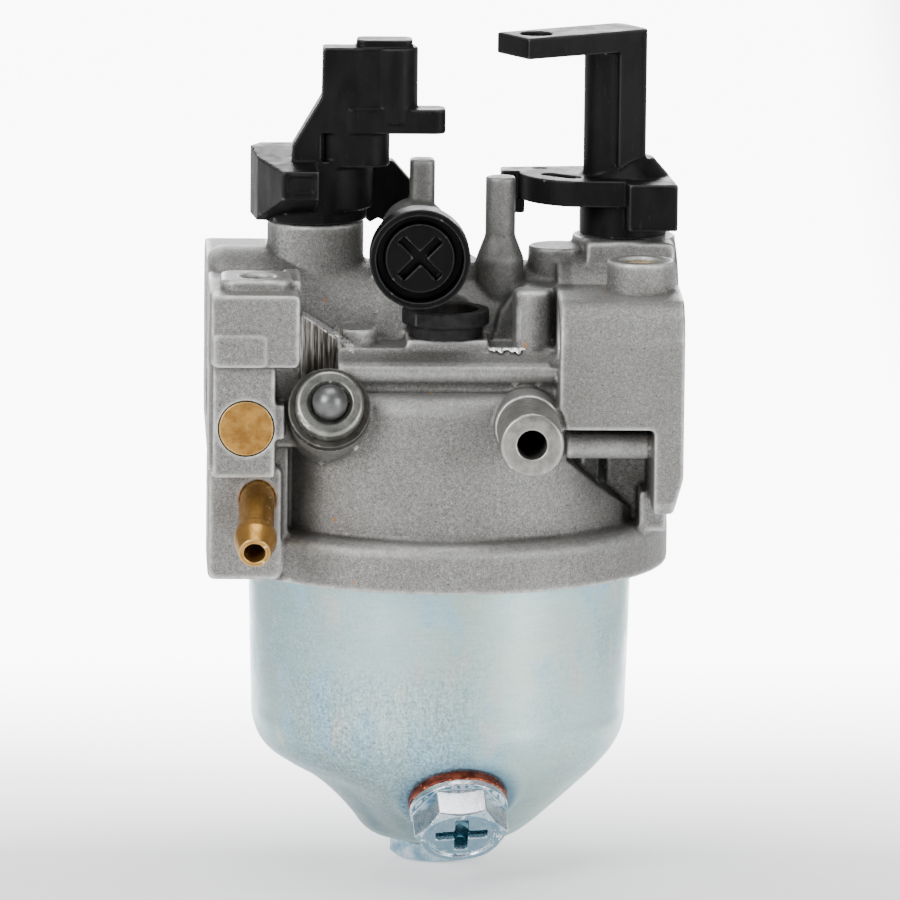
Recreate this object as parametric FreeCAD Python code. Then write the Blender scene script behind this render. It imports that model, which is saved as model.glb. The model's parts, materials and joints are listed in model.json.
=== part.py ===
import FreeCAD, Part
import math
import os

# Float-bowl carburettor of a small engine, in millimetres.
# +X runs along the bore from the engine face to the air-cleaner face, +Z is up, -Y is the
# fuel inlet side. The origin is the centre of the bore on the engine face.

V = FreeCAD.Vector
ALONG = V(1, 0, 0)
ACROSS = V(0, 1, 0)
UP = V(0, 0, 1)
FRONT = -1
BACK = 1

# Bore, from the engine face to the air-cleaner face
BODY_LENGTH = 57.3
ENGINE_MOUTH_R = 9.25
ENGINE_MOUTH_DEPTH = 5.0
THROTTLE_BORE_R = 9.0
THROAT_R = 7.0
CHOKE_BORE_R = 9.6
AIR_MOUTH_R = 9.85
AIR_MOUTH_DEPTH = 1.6

# Stud holes that clamp the body between engine and air cleaner
STUD_Y = 20.0
STUD_Z = 3.5
STUD_HOLE_R = 3.25
ENGINE_LUG_THICK = 10.9
AIR_LUG_START = 42.2
LUG_FRONT_ENGINE = 25.5
LUG_FRONT_AIR = 26.0

# Shafts
THROTTLE_X = 13.2
THROTTLE_SHAFT_R = 2.95
THROTTLE_TOWER_TOP = 15.3
CHOKE_X = 50.8
CHOKE_SHAFT_R = 2.45
CHOKE_TOWER_TOP = 13.6
RUNNING_GAP = 0.05
LEVER_GAP = 0.15
PLATE_THICK = 1.0
PLATE_GAP = 0.06
SCREW_SPREAD = 4.2

# Float chamber and bowl, round about one vertical axis
BOWL_X = 28.8
CHAMBER_R = 24.5
CHAMBER_TOP = -2.9
CHAMBER_ROOF = -12.0
CHAMBER_BORE_R = 21.5
RIM_R = 27.9
RIM_TOP = -20.4
RIM_BOTTOM = -26.3
BOWL_LIP_Z = -25.3
BOWL_TOP_R = 23.5
BOWL_WALL = 0.8
BOWL_BOTTOM = -61.0
GASKET_TOP = -24.3
COLUMN_R = 5.0
BOLT_R = 3.0
HEX_FLATS = 10.0

# Drain bolt: a pad on the cone of the bowl, to the front and a little to the right
DRAIN_YAW = 6.2
DRAIN_R = 18.0
DRAIN_Z = -53.4
DRAIN_TILT = 45.0

# Deck beside the barrel
DECK_Z = 1.9
DECK_FRONT = 16.0

# Idle speed screw, level and pointing to the front
IDLE_X = 25.4
IDLE_Z = 13.5
IDLE_SHANK_R = 2.0
IDLE_TIP_Y = 2.95
KNOB_FACE_Y = -20.5
KNOB_THICK = 4.2
KNOB_R = 6.1
STOP_ARM_Y = 3.0

# Pilot jet
PILOT_X = 28.8
PILOT_Y = -12.5
PEDESTAL_Z = 2.9

# Air jet in its boss above the air-cleaner lug
AIR_JET_X = 52.3
AIR_JET_R = 2.3

# Fuel inlet and its needle valve
INLET_X = 38.5
INLET_Z = -6.2
INLET_FACE_Y = -25.5
INLET_TUBE_R = 3.85
INLET_TUBE_LENGTH = 11.8
INLET_BORE_R = 1.78
SEAT_Y = -10.1

# Float hinge, in a frame turned about the bowl axis so that its first axis runs outward
FLOAT_YAW = -46.2
HINGE_R = 19.3
HINGE_Z = -20.5
HINGE_PIN_R = 0.8
TANG_TOP = -20.3
NEEDLE_R = 14.0
FLOAT_OUTER_R = 19.5
FLOAT_INNER_R = 8.2
FLOAT_TOP = -25.0
FLOAT_BOTTOM = -37.0

# Passage plug in the front left corner: its axis leans up from the front
PLUG = V(14.5, -24.5, -4.0)
PLUG_TILT = 25.0

# Vent barb: its axis leans down from the front
BARB = V(6.0, -20.5, -16.1)
BARB_TILT = 21.0
BARB_YAW = 2.5

# Brass disc plug in the engine flange
DISC_X = 4.5
DISC_Z = -6.6
DISC_R = 3.3
DISC_BLOCK_FRONT = 24.5

# Choke lever arm, in plan
CHOKE_ARM_YAW = 211.0
CHOKE_ARM_REACH = 16.4
CHOKE_ARM_HALF = 3.5
CHOKE_ARM_BOTTOM = 36.6
CHOKE_ARM_TOP = 39.2


# ---------------------------------------------------------------- helpers
def cyl(radius, start, end):
    """A cylinder from one point to another."""
    run = V(*end) - V(*start)
    return Part.makeCylinder(radius, run.Length, V(*start), run)


def cone(start_r, end_r, start, end):
    """A cone from one point to another."""
    run = V(*end) - V(*start)
    return Part.makeCone(start_r, end_r, run.Length, V(*start), run)


def box(xs, ys, zs):
    """A block between three pairs of limits."""
    return Part.makeBox(xs[1] - xs[0], ys[1] - ys[0], zs[1] - zs[0], V(xs[0], ys[0], zs[0]))


def runs_along(edge, axis):
    """True where an edge is straight and parallel to an axis."""
    if not isinstance(edge.Curve, Part.Line):
        return False
    return abs(abs(edge.Curve.Direction.dot(axis)) - 1.0) < 1e-6


def round_box(xs, ys, zs, axis, radius):
    """A block whose four edges along one axis are rounded."""
    block = box(xs, ys, zs)
    return block.makeFillet(radius, [e for e in block.Edges if runs_along(e, axis)])


def prism(points, span, axis):
    """A polygon, given in the two other axes, pushed along one axis over a span."""
    if axis is ALONG:
        corners = [V(span[0], a, b) for a, b in points]
    elif axis is ACROSS:
        corners = [V(a, span[0], b) for a, b in points]
    else:
        corners = [V(a, b, span[0]) for a, b in points]
    face = Part.Face(Part.makePolygon(corners + corners[:1]))
    return face.extrude(axis * (span[1] - span[0]))


def slot(start, end, radius, zs):
    """An upright stadium between two plan points."""
    run = V(end[0] - start[0], end[1] - start[1], 0)
    bar = Part.makeBox(run.Length, 2 * radius, zs[1] - zs[0], V(0, -radius, 0))
    bar.rotate(V(0, 0, 0), UP, math.degrees(math.atan2(run.y, run.x)))
    bar.translate(V(start[0], start[1], zs[0]))
    ends = [cyl(radius, (p[0], p[1], zs[0]), (p[0], p[1], zs[1])) for p in (start, end)]
    return join([bar] + ends)


def ring(outer, inner, start, end):
    """A washer or sleeve."""
    return cyl(outer, start, end).cut(cyl(inner, start, end))


def join(shapes):
    """Several solids made into one."""
    return shapes[0].multiFuse(shapes[1:]).removeSplitter()


def lathe(outline, axis_x):
    """A solid of revolution about an upright axis, from wires or (radius, height) points."""
    if isinstance(outline, list):
        outline = Part.makePolygon([V(r, 0, z) for r, z in outline + outline[:1]])
    solid = Part.Face(outline).revolve(V(0, 0, 0), UP, 360)
    return solid.translated(V(axis_x, 0, 0))


def hexagon(flats, start, end, corner):
    """A hexagonal bar with one corner towards a direction."""
    across = V(*end) - V(*start)
    length = across.Length
    across.normalize()
    side = corner - across * corner.dot(across)
    side.normalize()
    third = across.cross(side)
    reach = flats / math.sqrt(3)
    corners = []
    for step in range(6):
        turn = math.radians(60 * step)
        corners.append(V(*start) + side * (reach * math.cos(turn)) + third * (reach * math.sin(turn)))
    face = Part.Face(Part.makePolygon(corners + corners[:1]))
    return face.extrude(across * length)


def chamfered_hex(flats, start, end, corner):
    """A hexagonal head whose far corners are turned off at 30 degrees."""
    head = hexagon(flats, start, end, corner)
    run = V(*end) - V(*start)
    tip = V(*end)
    reach = flats / math.sqrt(3)
    axis = V(run).normalize()
    base = tip - axis * reach
    turned = Part.makeCone(reach * 2.7, flats / 2 * 0.95, reach, base, axis)
    return head.common(turned)


def beside_bowl_axis(shape):
    """Turn a piece drawn about the origin to the float's direction and move it to the bowl axis."""
    shape.rotate(V(0, 0, 0), UP, FLOAT_YAW)
    shape.translate(V(BOWL_X, 0, 0))
    return shape


def leaning(yaw, tilt):
    """A direction to the front, turned to the right by yaw and up by tilt."""
    flat = math.cos(math.radians(tilt))
    turn = math.radians(yaw)
    return V(math.sin(turn) * flat, -math.cos(turn) * flat, math.sin(math.radians(tilt)))


def down_axis(origin, axis):
    """A function that gives the point at a distance along an axis from an origin."""
    return lambda distance: tuple(origin + axis * distance)


plug_at = down_axis(PLUG, leaning(0, PLUG_TILT))
barb_at = down_axis(BARB, leaning(-BARB_YAW, -BARB_TILT))
DRAIN_TURN = math.radians(DRAIN_YAW)
DRAIN = V(BOWL_X + DRAIN_R * math.sin(DRAIN_TURN), -DRAIN_R * math.cos(DRAIN_TURN), DRAIN_Z)
drain_at = down_axis(DRAIN, leaning(DRAIN_YAW, -DRAIN_TILT))


# ---------------------------------------------------------------- body casting
def engine_side():
    """Engine flange with its stud lugs, plug block and lower block."""
    flange_round = cyl(11.8, (0, 0, 0), (9, 0, 0))
    flange_round = flange_round.makeFillet(1.9, [e for e in flange_round.Edges if e.BoundBox.XMax < 1e-6])
    shapes = [
        round_box((0, 8.0), (-23.8, 23.8), (-12.4, 9.6), ALONG, 4.0),
        flange_round,
        cone(11.8, 10.2, (9, 0, 0), (20, 0, 0)),
        round_box((0.2, ENGINE_LUG_THICK), (-LUG_FRONT_ENGINE, -12), (1.0, 9.8), ACROSS, 0.7),
        round_box((0, ENGINE_LUG_THICK), (12, LUG_FRONT_ENGINE), (-3.5, 8.2), ALONG, 2.5),
        round_box((0.5, 6.9), (-25.8, -24), (1.0, 5.0), ACROSS, 0.5),
        box((0.5, 8.0), (-DISC_BLOCK_FRONT, -14), (-12.7, 1.4)),
        box((7.5, 9.1), (-24.3, -15), (-8.0, -3.8)),
        round_box((0, 8.9), (-20.5, -6), (-25.9, -12), ACROSS, 0.8),
        box((8.4, 9.7), (-19.6, -9), (-21, -9)),
        round_box((1.4, 9.8), (-22.2, -14), (8, 11.1), UP, 1.8),
        box((7.8, 11.1), (-21.0, -15), (-9.5, 0.9)),
        box((9, 11.1), (-20.5, -11), (6, 10.8)),
    ]
    return shapes


def chamber():
    """Float chamber, its rim and the deck that joins it to the barrel."""
    drum = cyl(CHAMBER_R, (BOWL_X, 0, RIM_BOTTOM), (BOWL_X, 0, CHAMBER_TOP))
    drum = drum.makeFillet(2.2, [e for e in drum.Edges if abs(e.BoundBox.ZMin - CHAMBER_TOP) < 1e-6])
    shoulder = prism([(43.3, -11.1), (43.3, 0), (60, 0), (60, -26.6)], (-30, 30), ACROSS)
    drum = drum.cut(shoulder)
    rim = cyl(RIM_R, (BOWL_X, 0, RIM_BOTTOM), (BOWL_X, 0, RIM_TOP))
    rim = rim.makeFillet(1.5, [e for e in rim.Edges if abs(e.BoundBox.ZMin - RIM_TOP) < 1e-6])
    shapes = [drum, rim]
    for side in (FRONT, BACK):
        band = [(0, DECK_Z), (DECK_FRONT, DECK_Z), (DECK_FRONT, 1.5), (17.6, 1.0), (19.3, 0.7), (20.1, 0.2),
                (20.4, -0.6), (20.2, -1.4), (19.5, -1.9), (19.5, -6), (0, -6)]
        shapes.append(prism([(side * y, z) for y, z in band], (15.6, 43.0), ALONG))
    shapes.append(box((24.0, 33.9), (-DECK_FRONT, -9), (0, PEDESTAL_Z)))
    wedge = [(9.9, 5.9), (12.0, 5.4), (17.2, DECK_Z), (17.2, -9), (9.9, -9)]
    shapes.append(prism(wedge, (-14.6, -6), ACROSS))
    shapes.append(cyl(2.6, (17.9, -12.6, 0), (17.9, -12.6, 3.9)))
    return shapes


def towers():
    """Barrel, throttle tower, idle screw bracket, posts and small bosses."""
    rise = [(18.6, 4), (20.8, 12.0), (30.0, 12.0), (34.5, 9.4), (35.4, 4)]
    back_wall = [(34.4, 1), (35.4, 5.5), (37.0, 7.8), (38.6, 8.5), (46.5, 8.5), (46.5, 1)]
    shapes = [
        cyl(10.2, (14, 0, 0), (44, 0, 0)),
        cyl(5.9, (THROTTLE_X, 0, 5), (THROTTLE_X, 0, THROTTLE_TOWER_TOP)),
        cone(9.0, 5.9, (THROTTLE_X, 0, 2), (THROTTLE_X, 0, 10.0)),
        prism(rise, (-5.5, 2), ACROSS),
        cyl(4.2, (IDLE_X, -6, IDLE_Z), (IDLE_X, 2, IDLE_Z)),
        round_box((24.65, 27.75), (-1.4, 1.7), (IDLE_Z, 22.8), UP, 0.9),
        cyl(1.84, (35.6, -5, 4), (35.6, -5, 21.4)),
        cone(2.9, 1.84, (35.6, -5, 11.4), (35.6, -5, 14.2)),
        cyl(2.9, (35.6, -5, 2), (35.6, -5, 11.4)),
        prism(back_wall, (-10.5, -3), ACROSS),
        cyl(2.35, (39.2, -14, 0), (39.2, -14, 9.0)),
        cone(3.95, 3.5, (42.7, -2, 5), (42.7, -2, 12.5)),
    ]
    return shapes


def air_lug(side):
    """One stud lug of the air-cleaner side, round along its top outer edge."""
    corner_y = LUG_FRONT_AIR - 5.0
    points = [V(0, side * 10, 9.0), V(0, side * corner_y, 9.0)]
    bend = V(0, side * (corner_y + 3.54), 4.0 + 3.54)
    end = V(0, side * LUG_FRONT_AIR, 4.0)
    low = [V(0, side * LUG_FRONT_AIR, -6.4), V(0, side * 10, -6.4)]
    edges = [Part.makeLine(points[0], points[1]), Part.Arc(points[1], bend, end).toShape()]
    edges += [Part.makeLine(end, low[0]), Part.makeLine(low[0], low[1]), Part.makeLine(low[1], points[0])]
    lug = Part.Face(Part.Wire(edges)).extrude(ALONG * (BODY_LENGTH - AIR_LUG_START))
    return lug.translated(ALONG * AIR_LUG_START)


def air_side():
    """Air-cleaner flange with stud lugs, choke tower and jet boss."""
    flange = round_box((53.7, BODY_LENGTH), (-LUG_FRONT_AIR, LUG_FRONT_AIR), (-16.8, 6.0), ALONG, 1.5)
    bevel = prism([(56.0, -17), (57.4, -12), (57.4, -17)], (-27, 27), ACROSS)
    shapes = [
        cyl(12.9, (42.5, 0, -0.4), (BODY_LENGTH, 0, -0.4)),
        air_lug(FRONT),
        air_lug(BACK),
        flange.cut(bevel),
        box((52.6, 56.0), (-13.5, 13.5), (-21, -16)),
        box((43.3, 55.0), (-8.5, 8.5), (-20.5, -9)),
        box((43.3, 53.5), (-21.5, -14.5), (-6.6, -5.0)),
        cyl(1.5, (43.3, -21.6, -9.0), (53.1, -21.6, -9.0)),
        box((43.3, 53.1), (-21.6, -8), (-10.5, -7.5)),
        cyl(6.3, (CHOKE_X + 0.1, 0, 5), (CHOKE_X + 0.1, 0, CHOKE_TOWER_TOP)),
        round_box((46.1, 56.9), (-6.5, 6.5), (5, CHOKE_TOWER_TOP - 0.1), ACROSS, 0.8),
        cyl(4.1, (AIR_JET_X, -15, 3), (AIR_JET_X, -15, 12.8)),
        cyl(4.2, (CHOKE_X, 0, -15.4), (CHOKE_X, 0, -10)),
    ]
    return shapes


def bore():
    """The air passage: mouth, throttle bore, venturi, choke bore and air mouth."""
    air_start = BODY_LENGTH - AIR_MOUTH_DEPTH
    points = [(-1, 0), (-1, ENGINE_MOUTH_R), (ENGINE_MOUTH_DEPTH, ENGINE_MOUTH_R),
              (ENGINE_MOUTH_DEPTH, THROTTLE_BORE_R), (22.5, THROTTLE_BORE_R), (27, THROAT_R), (31, THROAT_R),
              (41, CHOKE_BORE_R), (air_start, CHOKE_BORE_R), (air_start, AIR_MOUTH_R),
              (BODY_LENGTH + 1, AIR_MOUTH_R), (BODY_LENGTH + 1, 0)]
    outline = Part.makePolygon([V(x, 0, r) for x, r in points + points[:1]])
    return Part.Face(outline).revolve(V(0, 0, 0), ALONG, 360)


def casting_holes():
    """Everything drilled, bored and counterbored."""
    throttle_r = THROTTLE_SHAFT_R + RUNNING_GAP
    choke_r = CHOKE_SHAFT_R + RUNNING_GAP
    holes = [
        bore(),
        cyl(throttle_r, (THROTTLE_X, 0, -12.6), (THROTTLE_X, 0, 16)),
        cyl(4.2, (THROTTLE_X, 0, THROTTLE_TOWER_TOP - 1.2), (THROTTLE_X, 0, 16)),
        cyl(choke_r, (CHOKE_X, 0, -13.4), (CHOKE_X, 0, 16)),
        cyl(3.7, (CHOKE_X, 0, CHOKE_TOWER_TOP - 1.2), (CHOKE_X, 0, 16)),
        cyl(1.95, (5.8, -18.3, 8.2), (5.8, -18.3, 13)),
        cyl(AIR_JET_R, (AIR_JET_X, -15, 8.6), (AIR_JET_X, -15, 13.5)),
        cyl(1.0, (AIR_JET_X, -15, 1.0), (AIR_JET_X, -15, 9)),
        cyl(IDLE_SHANK_R + RUNNING_GAP, (IDLE_X, -7, IDLE_Z), (IDLE_X, 3, IDLE_Z)),
        cyl(2.0, (PILOT_X, PILOT_Y, -8.5), (PILOT_X, PILOT_Y, 4)),
        cyl(3.0, (INLET_X, -26, INLET_Z), (INLET_X, -19.5, INLET_Z)),
        cyl(INLET_BORE_R, (INLET_X, -20, INLET_Z), (INLET_X, SEAT_Y, INLET_Z)),
        cyl(3.5, (INLET_X, SEAT_Y, -13), (INLET_X, SEAT_Y, -7.5)),
        cyl(INLET_BORE_R, (INLET_X, SEAT_Y, -8), (INLET_X, SEAT_Y, -6)),
        cyl(4.15, plug_at(-3.6), plug_at(1)),
        cyl(DISC_R, (DISC_X, -25.5, DISC_Z), (DISC_X, -22.0, DISC_Z)),
        cyl(2.15, barb_at(-4.0), barb_at(2)),
        cyl(5.5, (PILOT_X, PILOT_Y, PEDESTAL_Z), (PILOT_X, PILOT_Y, 8.5)),
        cyl(INLET_TUBE_R + 0.65, (INLET_X, -27, INLET_Z), (INLET_X, INLET_FACE_Y, INLET_Z)),
    ]
    for side in (FRONT, BACK):
        for start, end in ((-1, ENGINE_LUG_THICK + 1), (AIR_LUG_START - 1, BODY_LENGTH + 1)):
            holes.append(cyl(STUD_HOLE_R, (start, side * STUD_Y, STUD_Z), (end, side * STUD_Y, STUD_Z)))
    return holes


def body_casting():
    """The die-cast body: outside shapes, hollow float chamber, centre column, hinge lugs, holes."""
    outside = engine_side() + chamber() + towers() + air_side()
    outside.append(cyl(4.05, (INLET_X, INLET_FACE_Y, INLET_Z), (INLET_X, -16, INLET_Z)))
    outside.append(cyl(4.9, plug_at(-8), plug_at(-1.6)))
    body = join(outside)
    body = body.cut(cyl(CHAMBER_BORE_R, (BOWL_X, 0, RIM_BOTTOM - 1), (BOWL_X, 0, CHAMBER_ROOF)))
    body = body.cut(ring(24.0, 22.1, (BOWL_X, 0, RIM_BOTTOM - 1), (BOWL_X, 0, GASKET_TOP)))
    inside = [
        cyl(COLUMN_R, (BOWL_X, 0, BOWL_BOTTOM + BOWL_WALL), (BOWL_X, 0, CHAMBER_ROOF + 1)),
        cyl(4.6, (THROTTLE_X, 0, -14.2), (THROTTLE_X, 0, -11)),
        cyl(4.6, (INLET_X, SEAT_Y, -13), (INLET_X, SEAT_Y, -11)),
    ]
    slope = prism([(43.0, -10.9), (60, -26.6), (60, -28.8), (43.0, -13.4)], (-25, 25), ACROSS)
    inside.append(slope.common(cyl(CHAMBER_R, (BOWL_X, 0, GASKET_TOP + 1.5), (BOWL_X, 0, -5))))
    for side in (FRONT, BACK):
        lug = box((17.4, 21.4), (min(side * 2.8, side * 5.8), max(side * 2.8, side * 5.8)), (-22.4, -11))
        inside.append(beside_bowl_axis(lug))
    body = body.multiFuse(inside)
    pin_hole = beside_bowl_axis(cyl(HINGE_PIN_R, (HINGE_R, -7, HINGE_Z), (HINGE_R, 7, HINGE_Z)))
    column_holes = [
        cyl(2.5, (BOWL_X, 0, -46), (BOWL_X, 0, -6)),
        cyl(BOLT_R, (BOWL_X, 0, BOWL_BOTTOM), (BOWL_X, 0, -46)),
        cyl(0.9, (BOWL_X - 6, 0, -42), (BOWL_X + 6, 0, -42)),
    ]
    return body.cut(casting_holes() + [pin_hole] + column_holes).removeSplitter()


# ---------------------------------------------------------------- throttle and choke
def valve_shaft(x, radius, bottom, top, bore_r):
    """An upright shaft, cut to a half round across the bore so that the plate lies on its flat."""
    shaft = cyl(radius, (x, 0, bottom), (x, 0, top))
    flat = box((x - radius - 1, x + PLATE_THICK / 2), (-radius - 1, radius + 1), (-bore_r, bore_r))
    shaft = shaft.cut(flat)
    for side in (FRONT, BACK):
        shaft = shaft.cut(cyl(1.0, (x, 0, side * SCREW_SPREAD), (x + radius, 0, side * SCREW_SPREAD)))
    return shaft


def valve_plate(x, bore_r):
    """A round plate that closes the bore, with its two screw holes."""
    half = PLATE_THICK / 2
    plate = cyl(bore_r - PLATE_GAP, (x - half, 0, 0), (x + half, 0, 0))
    for side in (FRONT, BACK):
        plate = plate.cut(cyl(1.0, (x - 1, 0, side * SCREW_SPREAD), (x + 1, 0, side * SCREW_SPREAD)))
    return plate


def plate_screws(x):
    """Two round-headed screws that hold the plate to its shaft."""
    screws = []
    face = x - PLATE_THICK / 2
    for side in (FRONT, BACK):
        z = side * SCREW_SPREAD
        shank = cyl(1.0, (face, 0, z), (x + 2.2, 0, z))
        head = cyl(1.8, (face - 1.2, 0, z), (face, 0, z))
        head = head.cut(box((face - 2, face - 0.6), (-2, 2), (z - 0.25, z + 0.25)))
        screws.append(join([shank, head]))
    return Part.makeCompound(screws)


def throttle_lever():
    """Moulded lever: skirt and hub, front block, stop arm, web, link pin and tab."""
    skirt_bottom = THROTTLE_TOWER_TOP + LEVER_GAP
    plan = [(8.9, -12), (13.3, -12), (12.4, 5.6), (6.4, 5.4), (5.2, 3.0), (6.0, -4.0)]
    block = prism(plan, (skirt_bottom, 23.9), UP)
    slope = prism([(-13, 22.7), (-13, 25), (2, 25), (2, 23.9)], (0, 20), ALONG)
    under = prism([(-13, 19.8), (-12, 19.4), (-2.6, 15.4), (-2.6, 15), (-13, 15)], (0, 20), ALONG)
    block = block.cut([under, slope, box((9.6, 12.7), (-12.5, -11.7), (20.2, 22.2))])
    block = block.cut(box((5.5, 6.7), (1.2, 2.4), (16.4, 19.6)))
    web = [(13.8, 37.2), (20.8, 37.2), (20.8, 26.7), (13.7, 26.7), (13.7, 23.0), (10.2, 23.4), (10.2, 25.2),
           (13.7, 31.2)]
    stop = [(16.5, 22.0), (22.7, 22.0), (24.9, 19.5), (24.7, 15.2), (22.1, 14.3), (20.9, 14.9),
            (19.9, 14.3), (18.6, 15.6), (16.5, 15.8)]
    shapes = [
        cyl(6.6, (12.8, 0, skirt_bottom), (12.8, 0, 18.0)),
        cyl(6.5, (13.7, 0, 17.0), (13.7, 0, 23.2)),
        block,
        slot((16.2, -3.6), (19.2, -3.6), 2.85, (22.5, 28.0)),
        prism(web, (-6.4, -2.6), ACROSS),
        prism(stop, (STOP_ARM_Y, STOP_ARM_Y + 2.6), ACROSS),
        cyl(2.8, (22.6, -4.2, 28.0), (22.6, -4.2, 37.2)),
        round_box((17.9, 24.7), (-6.0, -2.0), (37.0, 38.1), UP, 1.0),
        round_box((16.4, 28.8), (-6.7, -2.4), (26.7, 29.7), UP, 1.2),
    ]
    lever = join(shapes)
    return lever.cut(cyl(THROTTLE_SHAFT_R, (THROTTLE_X, 0, 15), (THROTTLE_X, 0, 20.0)))


def choke_plan(points, zs):
    """A plan outline in the arm's own direction: along the arm, then across it, about the shaft."""
    shape = prism(points, zs, UP)
    shape.rotate(V(0, 0, 0), UP, CHOKE_ARM_YAW)
    return shape.translated(V(CHOKE_X, 0, 0))


def choke_round(along, radius, zs):
    """An upright cylinder at a distance along the arm."""
    turn = math.radians(CHOKE_ARM_YAW)
    x, y = CHOKE_X + along * math.cos(turn), along * math.sin(turn)
    return cyl(radius, (x, y, zs[0]), (x, y, zs[1]))


def choke_corner(edge):
    """Whether an edge is one of the two upright corners at the back of the arm."""
    box_ = edge.BoundBox
    turn = math.radians(CHOKE_ARM_YAW)
    along = (box_.XMin - CHOKE_X) * math.cos(turn) + box_.YMin * math.sin(turn)
    return box_.ZLength > 5 and along < 0


def choke_lever():
    """Moulded lever: hub, cam plate with its slots, stop tab, side block, column and link arm."""
    low, mid, high = CHOKE_TOWER_TOP + LEVER_GAP, 17.9, 21.1
    start, bend, end = V(38.1, 1.3, mid), V(39.7, -4.0, mid), V(44.3, -7.0, mid)
    corners = [end, V(51.4, -7.1, mid), V(51.4, 6.6, mid), V(35.9, 4.8, mid), V(35.9, 1.3, mid), start]
    edges = [Part.Arc(start, bend, end).toShape()]
    edges += [Part.makeLine(a, b) for a, b in zip(corners, corners[1:])]
    plate = Part.Face(Part.Wire(edges)).extrude(UP * (high - mid))
    side_block = prism([(50.9, -9), (57.1, -9), (55.8, 6.6), (50.9, 6.6)], (15.3, 21.0), UP)
    half = CHOKE_ARM_HALF
    blade = choke_plan([(-1.6, -half), (CHOKE_ARM_REACH, -half), (CHOKE_ARM_REACH, half), (-1.6, half)],
                       (20.5, CHOKE_ARM_TOP))
    blade = blade.makeFillet(1.5, [e for e in blade.Edges if choke_corner(e)])
    window = choke_plan([(3.0, -half - 1), (20, -half - 1), (20, half + 1), (3.0, half + 1)],
                        (20, CHOKE_ARM_BOTTOM))
    post = choke_round(2.7, 2.7, (20.5, CHOKE_ARM_BOTTOM + 1))
    foot = cone(5.6, 3.6, (CHOKE_X, 0, high - 0.2), (CHOKE_X, 0, 23.2))
    shapes = [
        cyl(5.35, (CHOKE_X, 0, low), (CHOKE_X, 0, high)),
        plate,
        box((35.9, 38.8), (1.3, 4.8), (15.9, high)),
        side_block,
        blade.cut(window),
        post,
        foot,
    ]
    reach = math.radians(CHOKE_ARM_YAW)
    hole = (CHOKE_X + 13.0 * math.cos(reach), 13.0 * math.sin(reach))
    cuts = [
        cyl(1.95, (*hole, 36), (*hole, 40)),
        slot((41.7, -1.3), (44.5, -3.6), 1.0, (17, 22)),
        slot((40.2, 3.7), (41.2, 3.7), 0.4, (17, 22)),
        box((50.6, 51.1), (-9.5, -8.0), (15, 22)),
        cyl(CHOKE_SHAFT_R, (CHOKE_X, 0, 13), (CHOKE_X, 0, 19.0)),
    ]
    return join(shapes).cut(cuts)


# ---------------------------------------------------------------- idle screw and jets
def idle_knob():
    """Cupped knob with a raised disc and a crossed slot."""
    back = KNOB_FACE_Y + KNOB_THICK
    knob = cyl(KNOB_R, (IDLE_X, KNOB_FACE_Y, IDLE_Z), (IDLE_X, back, IDLE_Z))
    knob = knob.makeFillet(0.5, knob.Edges[:1])
    cup = ring(5.3, 4.2, (IDLE_X, KNOB_FACE_Y - 0.5, IDLE_Z), (IDLE_X, KNOB_FACE_Y + 2.6, IDLE_Z))
    face = cyl(4.2, (IDLE_X, KNOB_FACE_Y - 0.5, IDLE_Z), (IDLE_X, KNOB_FACE_Y + 0.9, IDLE_Z))
    cuts = [cup, face]
    for turn in (45, 135):
        bar = box((-3.3, 3.3), (KNOB_FACE_Y - 0.5, KNOB_FACE_Y + 2.4), (-0.55, 0.55))
        bar.rotate(V(0, 0, 0), ACROSS, turn)
        cuts.append(bar.translated(V(IDLE_X, 0, IDLE_Z)))
    return knob.cut(cuts)


def idle_spring():
    """Compression spring between the knob and the bracket."""
    back = KNOB_FACE_Y + KNOB_THICK
    wire_r, coil_r, gap = 0.4, 3.0, 0.1
    length = -6.0 - back - 2 * (wire_r + gap)
    helix = Part.makeHelix(length / 5, length, coil_r)
    profile = Part.Wire([Part.makeCircle(wire_r, V(coil_r, 0, 0), ACROSS)])
    coil = Part.Wire(helix).makePipeShell([profile], True, True)
    coil.rotate(V(0, 0, 0), ALONG, -90)
    return coil.translated(V(IDLE_X, back + wire_r + gap, IDLE_Z))


def pilot_jet():
    """Brass jet with a slotted head, in the pedestal beside the barrel."""
    jet = join([cyl(2.0, (PILOT_X, PILOT_Y, -6), (PILOT_X, PILOT_Y, PEDESTAL_Z + 1.6)),
                cyl(2.8, (PILOT_X, PILOT_Y, PEDESTAL_Z), (PILOT_X, PILOT_Y, PEDESTAL_Z + 1.6))])
    slit = box((PILOT_X - 3, PILOT_X + 3), (PILOT_Y - 0.4, PILOT_Y + 0.4), (PEDESTAL_Z + 0.8, 6))
    return jet.cut([slit, cyl(0.5, (PILOT_X, PILOT_Y, -7), (PILOT_X, PILOT_Y, 6))])


def pilot_cap():
    """Stepped rubber cap round the jet head."""
    top = PEDESTAL_Z + 3.4
    mid = PEDESTAL_Z + 1.6
    cap = join([cyl(4.5, (PILOT_X, PILOT_Y, PEDESTAL_Z), (PILOT_X, PILOT_Y, mid)),
                cyl(5.3, (PILOT_X, PILOT_Y, mid), (PILOT_X, PILOT_Y, top))])
    return cap.cut(cyl(2.8, (PILOT_X, PILOT_Y, PEDESTAL_Z), (PILOT_X, PILOT_Y, mid))).cut(
        cyl(4.0, (PILOT_X, PILOT_Y, mid), (PILOT_X, PILOT_Y, top)))


def air_jet():
    """Brass air jet sunk in the boss on the air-cleaner side."""
    jet = cyl(AIR_JET_R, (AIR_JET_X, -15, 8.6), (AIR_JET_X, -15, 12.2))
    slit = box((49, 56), (-15.35, -14.65), (11.4, 13))
    return jet.cut([slit, cyl(0.7, (AIR_JET_X, -15, 8), (AIR_JET_X, -15, 13))])


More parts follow.
